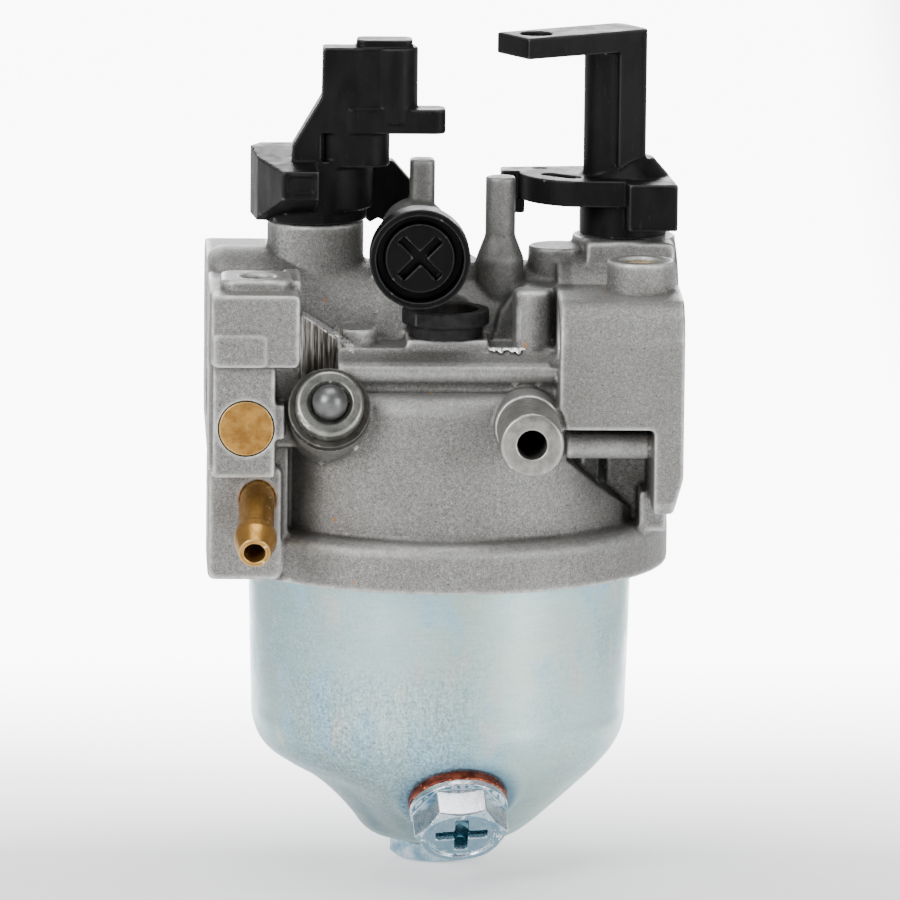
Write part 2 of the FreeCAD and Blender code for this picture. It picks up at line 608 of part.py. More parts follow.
def main_jet():
    """Brass main jet at the foot of the emulsion tube."""
    jet = cyl(2.5, (BOWL_X, 0, -45), (BOWL_X, 0, -40))
    slit = box((BOWL_X - 3, BOWL_X + 3), (-0.35, 0.35), (-46, -44))
    return jet.cut([slit, cyl(0.45, (BOWL_X, 0, -46), (BOWL_X, 0, -39))])


def emulsion_tube():
    """Brass tube with cross holes that carries fuel up to the throat."""
    tube = ring(2.5, 1.3, (BOWL_X, 0, -40), (BOWL_X, 0, -6.2))
    cuts = []
    for level in (-36, -32, -28, -24, -20, -16):
        cuts.append(cyl(0.45, (BOWL_X - 4, 0, level), (BOWL_X + 4, 0, level)))
        cuts.append(cyl(0.45, (BOWL_X, -4, level + 2), (BOWL_X, 4, level + 2)))
    return tube.cut(cuts)


# ---------------------------------------------------------------- fuel inlet and float
def fuel_inlet_tube():
    """Plain hose spigot pressed into its hub."""
    tip = INLET_FACE_Y - INLET_TUBE_LENGTH
    tube = cyl(INLET_TUBE_R, (INLET_X, INLET_FACE_Y, INLET_Z), (INLET_X, tip, INLET_Z))
    rims = [e for e in tube.Edges if abs(e.BoundBox.YMax - tip) < 1e-6 and abs(e.BoundBox.YMin - tip) < 1e-6]
    tube = tube.makeFillet(0.5, rims)
    tube = join([tube, cyl(3.0, (INLET_X, INLET_FACE_Y, INLET_Z), (INLET_X, -19.5, INLET_Z))])
    return tube.cut(cyl(INLET_BORE_R, (INLET_X, -18, INLET_Z), (INLET_X, tip - 1, INLET_Z)))


def inlet_seat():
    """Brass seat that the needle closes."""
    seat = cyl(3.5, (INLET_X, SEAT_Y, -13), (INLET_X, SEAT_Y, -7.5))
    return seat.cut([cyl(1.9, (INLET_X, SEAT_Y, -14), (INLET_X, SEAT_Y, -10)),
                     cone(1.9, 0.9, (INLET_X, SEAT_Y, -10), (INLET_X, SEAT_Y, -9)),
                     cyl(0.9, (INLET_X, SEAT_Y, -9), (INLET_X, SEAT_Y, -7))])


def inlet_needle():
    """Needle with a rubber-tipped cone above and a small pip below."""
    return join([cone(1.82, 0.85, (INLET_X, SEAT_Y, -10.12), (INLET_X, SEAT_Y, -9.15)),
                 cyl(1.82, (INLET_X, SEAT_Y, -19.2), (INLET_X, SEAT_Y, -10.12)),
                 cyl(0.6, (INLET_X, SEAT_Y, TANG_TOP + 0.1), (INLET_X, SEAT_Y, -19.2))])


def float_piece():
    """Ring float with its web, tang and hinge eye."""
    doughnut = ring(FLOAT_OUTER_R, FLOAT_INNER_R, (0, 0, FLOAT_BOTTOM), (0, 0, FLOAT_TOP))
    eye = cyl(1.7, (HINGE_R, -2.6, HINGE_Z), (HINGE_R, 2.6, HINGE_Z))
    tang = box((11.5, HINGE_R), (-2.6, 2.6), (TANG_TOP - 0.9, TANG_TOP))
    web = box((15.2, 18.4), (-2.6, 2.6), (FLOAT_TOP - 0.5, TANG_TOP - 0.5))
    shape = join([doughnut, eye, tang, web])
    shape = shape.cut(cyl(HINGE_PIN_R + RUNNING_GAP, (HINGE_R, -4, HINGE_Z), (HINGE_R, 4, HINGE_Z)))
    return beside_bowl_axis(shape)


def float_hinge_pin():
    """Plain pin in the two casting lugs."""
    return beside_bowl_axis(cyl(HINGE_PIN_R, (HINGE_R, -6.2, HINGE_Z), (HINGE_R, 6.2, HINGE_Z)))


# ---------------------------------------------------------------- bowl and its fasteners
def bowl_outside(shrink):
    """The bowl's outer form, made smaller by a wall: an S-shaped foot with a cone in front and right."""
    lip = BOWL_LIP_Z + (1 if shrink else 0)
    wall_r = BOWL_TOP_R - shrink
    foot = BOWL_BOTTOM + shrink
    knee = V(23.0 - shrink, 0, -44)
    curve = [knee, V(22.4 - shrink, 0, -48.1), V(20.3 - shrink, 0, -50.6 + shrink / 2),
             V(14.7 - shrink, 0, -54.3 + shrink), V(11.0 - shrink, 0, -57.6 + shrink),
             V(7.9 - shrink / 2, 0, foot)]
    sweep = Part.BSplineCurve()
    sweep.interpolate(curve)
    edges = [Part.makeLine(V(0, 0, foot), V(0, 0, lip)), Part.makeLine(V(0, 0, lip), V(wall_r, 0, lip)),
             Part.makeLine(V(wall_r, 0, lip), knee), sweep.toShape(),
             Part.makeLine(curve[-1], V(0, 0, foot))]
    turned = lathe(Part.Wire(edges), BOWL_X)
    cone_points = [V(0, 0, foot), V(0, 0, -44), knee, V(22.6 - shrink, 0, -47.9), V(8.2 - shrink / 2, 0, foot)]
    face = Part.Face(Part.makePolygon(cone_points + cone_points[:1]))
    sector = face.revolve(V(0, 0, 0), UP, 150)
    sector.rotate(V(0, 0, 0), UP, -128)
    return turned.fuse(sector.translated(V(BOWL_X, 0, 0)))


def fuel_bowl():
    """Pressed steel bowl with a bolt hole and a drain hole."""
    shell = bowl_outside(0).cut(bowl_outside(BOWL_WALL))
    return shell.cut([cyl(BOLT_R + 0.1, (BOWL_X, 0, -62), (BOWL_X, 0, -58)),
                      cyl(BOLT_R + 0.1, drain_at(-4), drain_at(4))])


def bowl_bolt():
    """Hexagon bolt that holds the bowl to the centre column."""
    under = BOWL_BOTTOM - 0.5
    head = chamfered_hex(HEX_FLATS, (BOWL_X, 0, under), (BOWL_X, 0, -64.0), ALONG)
    return join([head, cyl(BOLT_R, (BOWL_X, 0, under), (BOWL_X, 0, -48))])


def drain_bolt():
    """Flanged hexagon bolt with a crossed recess."""
    flange = cyl(6.0, drain_at(1.0), drain_at(1.9))
    axis = leaning(DRAIN_YAW, -DRAIN_TILT)
    corner = ALONG - axis * ALONG.dot(axis)
    head = chamfered_hex(HEX_FLATS, drain_at(1.9), drain_at(5.7), corner)
    dish = cyl(3.4, drain_at(5.3), drain_at(6.5))
    bolt = join([flange, head, cyl(BOLT_R, drain_at(-4.0), drain_at(1.0))]).cut(dish)
    side = V(corner).normalize()
    for direction in (side, axis.cross(side)):
        start = V(*drain_at(4.0)) - direction * 2.6
        bar = cyl(0.7, tuple(start), tuple(start + direction * 5.2))
        bolt = bolt.cut([bar, bar.translated(axis * 0.7), bar.translated(axis * 1.4)])
    return bolt


def drain_nut():
    """Threaded boss welded inside the bowl behind the drain bolt."""
    outer = cyl(5.2, drain_at(-6), drain_at(1)).common(bowl_outside(BOWL_WALL))
    return outer.cut(cyl(BOLT_R, drain_at(-7), drain_at(2)))


def drain_washer():
    """Copper washer; its back follows the cone of the bowl."""
    return ring(6.1, BOLT_R, drain_at(-1.5), drain_at(1.0)).cut(bowl_outside(0))


# ---------------------------------------------------------------- plugs and barb
def plug_sleeve():
    """Steel sleeve with a cup for its ball."""
    sleeve = cyl(4.15, plug_at(-3.6), plug_at(2.4))
    rims = [e for e in sleeve.Edges if abs(e.Length - 2 * math.pi * 4.15) < 0.01]
    top = max(rims, key=lambda e: e.CenterOfMass.z)
    sleeve = sleeve.makeFillet(0.6, [top])
    return sleeve.cut([cyl(2.2, plug_at(0.4), plug_at(3)), cone(2.2, 3.0, plug_at(1.8), plug_at(2.6))])


def vent_barb():
    """Brass hose barb pressed into the lower block."""
    shapes = [
        cyl(2.15, barb_at(-4.0), barb_at(8.2)),
        cone(2.15, 2.6, barb_at(7.6), barb_at(8.4)),
        cyl(2.6, barb_at(8.4), barb_at(9.6)),
        cone(2.6, 1.9, barb_at(9.6), barb_at(12.3)),
    ]
    return join(shapes).cut(cyl(1.3, barb_at(-5), barb_at(13)))


# ---------------------------------------------------------------- write the pieces
NODES = {
    "body_casting": body_casting,
    "throttle_shaft": lambda: valve_shaft(THROTTLE_X, THROTTLE_SHAFT_R, -12.4, 20.0, THROTTLE_BORE_R),
    "throttle_lever": throttle_lever,
    "throttle_plate": lambda: valve_plate(THROTTLE_X, THROTTLE_BORE_R),
    "throttle_plate_screws": lambda: plate_screws(THROTTLE_X),
    "throttle_shaft_seal": lambda: ring(4.2, THROTTLE_SHAFT_R + RUNNING_GAP,
                                        (THROTTLE_X, 0, THROTTLE_TOWER_TOP - 1.2),
                                        (THROTTLE_X, 0, THROTTLE_TOWER_TOP)),
    "choke_shaft": lambda: valve_shaft(CHOKE_X, CHOKE_SHAFT_R, -13.2, 19.0, CHOKE_BORE_R),
    "choke_lever": choke_lever,
    "choke_plate": lambda: valve_plate(CHOKE_X, CHOKE_BORE_R),
    "choke_plate_screws": lambda: plate_screws(CHOKE_X),
    "choke_shaft_seal": lambda: ring(3.7, CHOKE_SHAFT_R + RUNNING_GAP,
                                     (CHOKE_X, 0, CHOKE_TOWER_TOP - 1.2), (CHOKE_X, 0, CHOKE_TOWER_TOP)),
    "idle_speed_knob": idle_knob,
    "idle_speed_shank": lambda: cyl(IDLE_SHANK_R, (IDLE_X, KNOB_FACE_Y + KNOB_THICK, IDLE_Z),
                                    (IDLE_X, IDLE_TIP_Y, IDLE_Z)),
    "idle_speed_spring": idle_spring,
    "pilot_jet": pilot_jet,
    "pilot_jet_cap": pilot_cap,
    "air_jet": air_jet,
    "main_jet": main_jet,
    "emulsion_tube": emulsion_tube,
    "fuel_inlet_tube": fuel_inlet_tube,
    "inlet_seat": inlet_seat,
    "inlet_needle": inlet_needle,
    "float": float_piece,
    "float_hinge_pin": float_hinge_pin,
    "fuel_bowl": fuel_bowl,
    "bowl_gasket": lambda: ring(24.0, 22.1, (BOWL_X, 0, BOWL_LIP_Z), (BOWL_X, 0, GASKET_TOP)),
    "bowl_bolt": bowl_bolt,
    "bowl_bolt_washer": lambda: ring(5.0, BOLT_R, (BOWL_X, 0, BOWL_BOTTOM - 0.5), (BOWL_X, 0, BOWL_BOTTOM)),
    "drain_bolt": drain_bolt,
    "drain_washer": drain_washer,
    "drain_boss_nut": drain_nut,
    "passage_plug_ring": lambda: ring(5.0, 4.15, plug_at(-1.6), plug_at(0)),
    "passage_plug_sleeve": plug_sleeve,
    "passage_plug_ball": lambda: Part.makeSphere(2.15, V(*plug_at(2.6))).cut(cyl(3, plug_at(-2), plug_at(0.4))),
    "flange_brass_plug": lambda: cyl(DISC_R, (DISC_X, -DISC_BLOCK_FRONT, DISC_Z), (DISC_X, -22.0, DISC_Z)),
    "vent_barb": vent_barb,
}

os.makedirs("parts", exist_ok=True)
for name, make in NODES.items():
    shape = make()
    solids = shape.Solids
    print(f"{name:24s} solids {len(solids)} valid {shape.isValid()} volume {shape.Volume:10.2f}")
    if shape.ShapeType != "Solid" and len(solids) == 1:
        shape = solids[0]
    shape.exportStep(f"parts/{name}.step")
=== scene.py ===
import json
import math
import random

import bmesh
import bpy
from mathutils import Matrix, Vector


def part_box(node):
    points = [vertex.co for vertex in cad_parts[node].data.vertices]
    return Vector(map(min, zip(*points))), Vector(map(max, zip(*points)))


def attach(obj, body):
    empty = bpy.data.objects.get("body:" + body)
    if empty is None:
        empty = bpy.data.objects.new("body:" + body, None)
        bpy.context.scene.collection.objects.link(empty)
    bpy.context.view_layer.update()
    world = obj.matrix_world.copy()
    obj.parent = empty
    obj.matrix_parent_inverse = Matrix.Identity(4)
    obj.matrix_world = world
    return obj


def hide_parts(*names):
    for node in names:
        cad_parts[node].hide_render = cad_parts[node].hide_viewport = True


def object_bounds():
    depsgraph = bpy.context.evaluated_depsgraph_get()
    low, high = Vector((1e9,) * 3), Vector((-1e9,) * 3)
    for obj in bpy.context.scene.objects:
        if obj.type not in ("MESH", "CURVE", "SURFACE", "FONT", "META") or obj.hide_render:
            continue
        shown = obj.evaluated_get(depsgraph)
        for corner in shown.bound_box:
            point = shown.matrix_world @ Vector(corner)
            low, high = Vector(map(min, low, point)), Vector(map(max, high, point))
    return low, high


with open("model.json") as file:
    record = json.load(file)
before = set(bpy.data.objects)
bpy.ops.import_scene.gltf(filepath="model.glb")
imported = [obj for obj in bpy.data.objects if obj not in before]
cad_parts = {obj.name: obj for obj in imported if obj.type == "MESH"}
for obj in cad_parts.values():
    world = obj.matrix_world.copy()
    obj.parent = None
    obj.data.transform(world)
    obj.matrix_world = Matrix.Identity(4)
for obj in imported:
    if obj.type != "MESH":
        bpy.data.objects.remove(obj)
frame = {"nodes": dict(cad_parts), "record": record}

CAD_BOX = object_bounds()
MM = 0.001  # one millimetre in scene units
NODES = frame["nodes"]
BODIES = frame["record"]["behaviour"]["bodies"]
BODY_OF = {node: body for body, nodes in BODIES.items() for node in nodes}
SLOT_OF = {row["node"]: row["material_slot"] for row in frame["record"]["subparts"]}

# places on the object, in mm
BRASS_PLUG_XZ = (4.5, -6.6)
PLUG_SEAM = (3.2, 3.42)
DRAIN_PAD_HEIGHT = -53.4
DRAIN_PAD_OUT = 18.0
DRAIN_YAW, DRAIN_TILT = 6.2, -45.0
DRAIN_SPOT = (30.74, -17.9, DRAIN_PAD_HEIGHT)

# soft-edged boxes on the casting: (axis, low, high, softness) in mm
FRONT_DRUM = (("X", 5.0, 9.2, 1.5), ("Z", 12.0, 19.5, 2.0), ("Y", -13.0, -4.0, 1.0))
LUG_GAP = (("X", 10.2, 12.4, 0.2), ("Z", -19.0, 1.2, 0.2), ("Y", -24.0, -13.0, 0.2))
GAP_SHADE = (("X", 9.5, 12.2, 2.2), ("Z", -20.0, 0.5, 1.5), ("Y", -22.0, -13.0, 1.0))
OPEN_POCKET = (("X", 43.0, 56.5, 0.5), ("Z", -24.5, -10.8, 0.4))
POSTS = (("X", 25.0, 44.0, 0.5), ("Z", 4.0, 40.0, 1.5), ("Y", -15.2, 30.0, 0.4))
SPOT_FACE = (("X", 10.9, 16.2, 0.2), ("Y", -15.6, -13.6, 0.2), ("Z", -9.5, 7.5, 0.2))
RAMP_EDGE = (("X", 11.6, 17.4, 0.3), ("Y", -18.0, -11.0, 0.5))
RAMP_SLOPE, RAMP_START = -0.70, 13.95
BORE_FACES = (("X", -0.5, 0.1, 0.08), ("X", 57.2, 58.0, 0.08))


# ---------------------------------------------------------------- material building blocks
class Surface:
    """A material being wired up; every size is in millimetres of the object."""

    def __init__(self, name):
        self.material = bpy.data.materials.new(name)
        self.material.use_nodes = True
        self.tree = self.material.node_tree
        self.shader = self.tree.nodes["Principled BSDF"]
        place = self.tree.nodes.new("ShaderNodeTexCoord")
        self.place = self.stretch(place.outputs["Object"], (1 / MM, 1 / MM, 1 / MM))

    def link(self, source, target):
        self.tree.links.new(source, target)

    def stretch(self, source, scale, turn=(0, 0, 0)):
        node = self.tree.nodes.new("ShaderNodeMapping")
        node.inputs["Scale"].default_value = scale
        node.inputs["Rotation"].default_value = [math.radians(a) for a in turn]
        self.link(source, node.inputs["Vector"])
        return node.outputs["Vector"]

    def noise(self, size, detail=2.0, rough=0.5, place=None, twist=0.0):
        node = self.tree.nodes.new("ShaderNodeTexNoise")
        node.inputs["Scale"].default_value = 1.0 / size
        node.inputs["Detail"].default_value = detail
        node.inputs["Roughness"].default_value = rough
        node.inputs["Distortion"].default_value = twist
        self.link(place or self.place, node.inputs["Vector"])
        return node.outputs["Fac"]

    def cells(self, size, place=None):
        node = self.tree.nodes.new("ShaderNodeTexVoronoi")
        node.inputs["Scale"].default_value = 1.0 / size
        self.link(place or self.place, node.inputs["Vector"])
        return node.outputs["Distance"]

    def ramp(self, source, *stops):
        node = self.tree.nodes.new("ShaderNodeValToRGB")
        ramp = node.color_ramp
        while len(ramp.elements) < len(stops):
            ramp.elements.new(0.5)
        for element, (at, value) in zip(ramp.elements, stops):
            element.position = at
            grey = isinstance(value, (int, float))
            element.color = (value, value, value, 1) if grey else (*value, 1)
        self.link(source, node.inputs["Fac"])
        return node.outputs["Color"]

    def mix(self, amount, first, second, mode="MIX"):
        node = self.tree.nodes.new("ShaderNodeMix")
        node.data_type = "RGBA"
        node.blend_type = mode
        factor, colour_a, colour_b = node.inputs[0], node.inputs[6], node.inputs[7]
        for socket, value in ((factor, amount), (colour_a, first), (colour_b, second)):
            if isinstance(value, (int, float)):
                socket.default_value = value if socket == factor else (value, value, value, 1)
            elif isinstance(value, tuple):
                socket.default_value = (*value, 1)
            else:
                self.link(value, socket)
        return node.outputs[2]

    def maths(self, kind, first, second=0.0, third=0.0):
        node = self.tree.nodes.new("ShaderNodeMath")
        node.operation = kind
        for socket, value in zip(node.inputs, (first, second, third)):
            if isinstance(value, (int, float)):
                socket.default_value = value
            else:
                self.link(value, socket)
        return node.outputs[0]

    def axis(self, letter, place=None):
        node = self.tree.nodes.new("ShaderNodeSeparateXYZ")
        self.link(place or self.place, node.inputs[0])
        return node.outputs[letter]

    def within(self, value, low, high, soft=0.2):
        """1 between two limits, 0 outside them."""
        node = self.tree.nodes.new("ShaderNodeMapRange")
        node.interpolation_type = "SMOOTHSTEP"
        centre = (low + high) / 2
        away = self.maths("ABSOLUTE", self.maths("SUBTRACT", value, centre))
        self.link(away, node.inputs["Value"])
        node.inputs["From Min"].default_value = (high - low) / 2 + soft
        node.inputs["From Max"].default_value = (high - low) / 2
        return node.outputs["Result"]

    def zone(self, limits):
        """1 inside a soft-edged box; limits holds (axis, low, high, softness)."""
        inside = None
        for letter, low, high, soft in limits:
            part = self.within(self.axis(letter), low, high, soft)
            inside = part if inside is None else self.maths("MULTIPLY", inside, part)
        return inside

    def attribute(self, name):
        """A value stored on the mesh, 0 where a mesh has none."""
        node = self.tree.nodes.new("ShaderNodeAttribute")
        node.attribute_name = name
        return node.outputs["Fac"]

    def distance(self, spot):
        """How far the surface is from a fixed point."""
        node = self.tree.nodes.new("ShaderNodeVectorMath")
        node.operation = "DISTANCE"
        self.link(self.place, node.inputs[0])
        node.inputs[1].default_value = spot
        return node.outputs["Value"]

    def edges(self, low, high):
        """How sharp and outward the surface bends, 0 to 1."""
        node = self.tree.nodes.new("ShaderNodeNewGeometry")
        return self.ramp(node.outputs["Pointiness"], (low, 0.0), (high, 1.0))

    def facing(self, letter):
        """The surface normal along one axis of the object, -1 to 1."""
        node = self.tree.nodes.new("ShaderNodeTexCoord")
        return self.axis(letter, node.outputs["Normal"])

    def bumps(self, *layers):
        """Bump layers, each (height, depth in mm or as a socket in metres, strength)."""
        normal = None
        for height, depth, strength in layers:
            node = self.tree.nodes.new("ShaderNodeBump")
            node.inputs["Strength"].default_value = strength
            if isinstance(depth, float):
                node.inputs["Distance"].default_value = depth * MM
            else:
                self.link(depth, node.inputs["Distance"])
            self.link(height, node.inputs["Height"])
            if normal:
                self.link(normal, node.inputs["Normal"])
            normal = node.outputs["Normal"]
        self.link(normal, self.shader.inputs["Normal"])

    def finish(self, colour, metal, rough, **others):
        for name, value in {"Base Color": colour, "Metallic": metal, "Roughness": rough, **others}.items():
            socket = self.shader.inputs[name]
            if isinstance(value, tuple):
                socket.default_value = (*value, 1)
            elif isinstance(value, (int, float)):
                socket.default_value = value
            else:
                self.link(value, socket)
        return self.material


# ---------------------------------------------------------------- materials
def cast_aluminium():
    """Die-cast skin: speckled grain, edges painted bright as wear and highlight, painted glints, painted
    shade in recesses, tool marks where it was cut.
    """
    s = Surface("cast_aluminium")
    x, y, z = (s.axis(letter) for letter in "XYZ")
    wear_and_highlight, gap_shade_colour = (0.66, 0.66, 0.65), (0.07, 0.066, 0.06)
    grain = s.noise(0.13, 3, 0.65)
    coarse = s.noise(0.42, 4, 0.7)
    patches = s.noise(6.0, 4, 0.6)
    colour = s.ramp(coarse, (0.3, (0.150, 0.149, 0.143)), (0.5, (0.205, 0.203, 0.197)),
                    (0.7, (0.285, 0.283, 0.275)))
    colour = s.mix(0.7, colour, s.ramp(grain, (0.32, 0.12), (0.68, 0.84)), "OVERLAY")
    cloudy = s.ramp(patches, (0.32, (0.43, 0.42, 0.405)), (0.68, (0.57, 0.57, 0.575)))
    colour = s.mix(0.6, colour, cloudy, "OVERLAY")
    # painted glints: small bright specks, more of them in some patches
    glints = s.ramp(s.cells(0.36), (0.07, 0.75), (0.17, 0.0))
    glints = s.maths("MULTIPLY", glints, s.ramp(patches, (0.35, 0.35), (0.6, 1.0)))
    colour = s.mix(glints, colour, wear_and_highlight)
    pits = s.ramp(s.cells(1.3, s.stretch(s.place, (1, 1, 1), (20, 35, 10))), (0.05, 0.75), (0.12, 0.0))
    colour = s.mix(pits, colour, (0.050, 0.046, 0.040))
    # the drum and the ramp beside the left tower are blasted rougher, their speckled grain painted brighter
    # as a highlight on the lit side
    speckle = s.ramp(s.noise(0.3, 2, 0.7), (0.42, 0.05), (0.56, 0.95))
    colour = s.mix(s.maths("MULTIPLY", s.zone(FRONT_DRUM), speckle), colour, (0.42, 0.42, 0.42))
    # corners are painted bright, partly as wear and partly as a highlight, but not in the gap between the
    # left lug and the drum
    edge_wear_and_highlight = s.ramp(s.noise(0.9, 3, 0.6), (0.3, 0.45), (0.6, 1.0))
    edge_wear_and_highlight = s.maths("MULTIPLY", s.edges(0.502, 0.535), edge_wear_and_highlight)
    outside_gap = s.maths("MULTIPLY_ADD", s.zone(LUG_GAP), -0.85, 0.85)
    colour = s.mix(s.maths("MULTIPLY", edge_wear_and_highlight, outside_gap), colour, (0.62, 0.62, 0.61))
    # painted shade in the gap beside the left lug
    colour = s.mix(s.maths("MULTIPLY", s.zone(GAP_SHADE), 0.6), colour, gap_shade_colour)
    # painted shade in the hollows, except in the open pocket under the right block
    hollow_shade = s.ramp(s.edges(0.44, 0.498), (0.0, 0.85), (1.0, 0.0))
    hollow_shade = s.maths("MULTIPLY", hollow_shade, s.maths("MULTIPLY_ADD", s.zone(OPEN_POCKET), -0.8, 1.0))
    colour = s.mix(hollow_shade, colour, (0.045, 0.042, 0.037))
    # painted shade: the posts are darker than the blocks
    colour = s.mix(s.maths("MULTIPLY", s.zone(POSTS), 0.6), colour, (0.075, 0.075, 0.071))
    # dark joint line round the brass plug
    across = [s.maths("POWER", s.maths("SUBTRACT", value, middle), 2.0)
              for value, middle in zip((x, z), BRASS_PLUG_XZ)]
    radius = s.maths("SQRT", s.maths("ADD", *across))
    seam = s.maths("MULTIPLY", s.within(radius, *PLUG_SEAM, 0.07), s.within(y, -27.0, -24.0, 0.3))
    colour = s.mix(seam, colour, (0.022, 0.016, 0.010))
    # orange specks of old fuel
    flecks = s.ramp(s.cells(7.5, s.stretch(s.place, (1, 1, 1), (12, 40, 65))), (0.034, 1.0), (0.052, 0.0))
    colour = s.mix(s.maths("MULTIPLY", flecks, 0.8), colour, (0.34, 0.17, 0.06))
    # tool lines on the spot face beside the left stud lug
    cut = s.zone(SPOT_FACE)
    lines = s.noise(0.26, 2, 0.75, s.stretch(s.place, (1, 0.03, 0.04)))
    colour = s.mix(cut, colour, s.ramp(lines, (0.40, (0.028, 0.022, 0.016)), (0.48, (0.16, 0.145, 0.125)),
                                       (0.56, (0.35, 0.335, 0.31)), (0.66, (0.62, 0.61, 0.58))))
    # painted highlight: a bright line along the top of the ramp
    slope = s.maths("SUBTRACT", z, s.maths("MULTIPLY_ADD", x, RAMP_SLOPE, RAMP_START))
    slope = s.maths("MULTIPLY", s.within(slope, -0.35, 0.5, 0.12), s.zone(RAMP_EDGE))
    colour = s.mix(s.maths("MULTIPLY", slope, speckle), colour, wear_and_highlight)
    # the two bore faces are machined
    faces = s.maths("MAXIMUM", *(s.zone((face,)) for face in BORE_FACES))
    turned = s.noise(0.22, 2, 0.6, s.stretch(s.place, (1, 1, 0.04)))
    turned = s.ramp(turned, (0.35, (0.21, 0.205, 0.20)), (0.65, (0.36, 0.355, 0.345)))
    colour = s.mix(faces, colour, turned)
    rough = s.mix(edge_wear_and_highlight, s.ramp(coarse, (0.3, 0.56), (0.7, 0.42)), 0.30)
    line_depth = s.maths("MULTIPLY", cut, 0.12 * MM)
    s.bumps((coarse, 0.10, 0.7), (grain, 0.05, 0.8), (lines, line_depth, 0.6))
    return s.finish(colour, 0.62, rough)


def zinc_bowl():
    """Blue-white zinc plating on pressed steel: cloudy tint, leathery crossed scuffs, a few dents."""
    s = Surface("zinc_bowl")
    x, z = (s.axis(letter) for letter in "XZ")
    clouds = s.noise(10.0, 3, 0.5)
    tint = s.ramp(clouds, (0.34, (0.30, 0.50, 0.58)), (0.5, (0.50, 0.64, 0.66)), (0.64, (0.57, 0.62, 0.58)))
    # painted highlight and shade across the bowl: two pale vertical highlight bands, a dimmer middle and
    # darker flanks; paler and greener towards the right, blue-grey at the left flank
    left_to_right = s.maths("MULTIPLY_ADD", x, 1.0 / 46, -0.126)
    across = s.ramp(left_to_right, (0.0, (0.12, 0.20, 0.24)), (0.12, (0.29, 0.42, 0.47)),
                    (0.34, (0.58, 0.70, 0.72)), (0.54, (0.42, 0.52, 0.49)), (0.70, (0.62, 0.73, 0.69)),
                    (0.88, (0.50, 0.64, 0.64)), (1.0, (0.25, 0.36, 0.36)))
    tint = s.mix(0.62, tint, across)
    # thin blue, violet and straw fringes of the passivation
    fringe = s.noise(5.0, 2, 0.5, s.stretch(s.place, (1, 1, 0.55), (0, 12, 0)))
    tint = s.mix(s.ramp(fringe, (0.56, 0.0), (0.66, 0.6)), tint, (0.34, 0.55, 0.74))
    fringe = s.noise(3.4, 2, 0.5, s.stretch(s.place, (1, 1, 0.5), (0, -20, 40)))
    tint = s.mix(s.ramp(fringe, (0.60, 0.0), (0.70, 0.45)), tint, (0.72, 0.60, 0.56))
    tint = s.mix(1.0, tint, (0.89, 0.98, 0.96), "MULTIPLY")
    # the foot mirrors the dim room below, most of all at the left
    low = s.ramp(s.maths("MULTIPLY_ADD", z, -1.0 / 20, -2.2), (0.0, 0.0), (0.35, 0.5), (0.7, 0.9))
    side = s.ramp(left_to_right, (0.25, 0.0), (0.75, 1.0))
    low = s.maths("MULTIPLY", low, s.maths("MULTIPLY_ADD", side, -0.45, 1.0))
    tint = s.mix(low, tint, s.mix(side, (0.055, 0.10, 0.115), (0.14, 0.23, 0.24)))
    # painted dark blue contact shadow round the drain washer
    drain = s.ramp(s.maths("MULTIPLY", s.distance(DRAIN_SPOT), 0.1), (0.66, 0.85), (0.84, 0.0))
    tint = s.mix(drain, tint, (0.09, 0.20, 0.30))
    scuffs = None
    for turn in (15, 66, 112, 158):
        marks = s.noise(0.30, 3, 0.65, s.stretch(s.place, (1, 1, 0.16), (0, turn, 0)))
        marks = s.ramp(marks, (0.54, 0.0), (0.62, 1.0))
        scuffs = marks if scuffs is None else s.maths("MAXIMUM", scuffs, marks)
    where = s.maths("MULTIPLY", s.within(x, 14.0, 28.5, 7.0), s.within(z, -54.0, -41.0, 7.0))
    where = s.maths("MAXIMUM", where, s.ramp(s.noise(8.0, 2, 0.5), (0.5, 0.0), (0.7, 0.5)))
    scuffs = s.maths("MULTIPLY", scuffs, where)
    leather = s.noise(0.36, 3, 0.7, None, 0.6)
    grain = s.noise(0.16, 3, 0.6)
    level = s.ramp(s.noise(0.34, 2, 0.6, s.stretch(s.place, (0.12, 0.12, 1))), (0.4, 0.44), (0.6, 0.57))
    colour = s.mix(s.maths("MULTIPLY", scuffs, 0.5), tint, (0.26, 0.38, 0.43))
    colour = s.mix(0.35, colour, level, "OVERLAY")
    colour = s.mix(s.maths("MULTIPLY_ADD", where, 0.5, 0.12), colour,
                   s.ramp(leather, (0.36, 0.22), (0.5, 0.5), (0.64, 0.80)), "OVERLAY")
    colour = s.mix(0.22, colour, s.ramp(grain, (0.35, 0.3), (0.65, 0.7)), "OVERLAY")
    rough = s.mix(scuffs, s.ramp(s.noise(3.0, 4, 0.6), (0.3, 0.27), (0.7, 0.37)), 0.46)
    dents = s.noise(6.0, 2, 0.5)
    s.bumps((dents, 0.10, 0.4), (leather, 0.025, 0.55), (grain, 0.012, 0.5), (scuffs, 0.02, 0.5))
    return s.finish(colour, 0.95, rough)


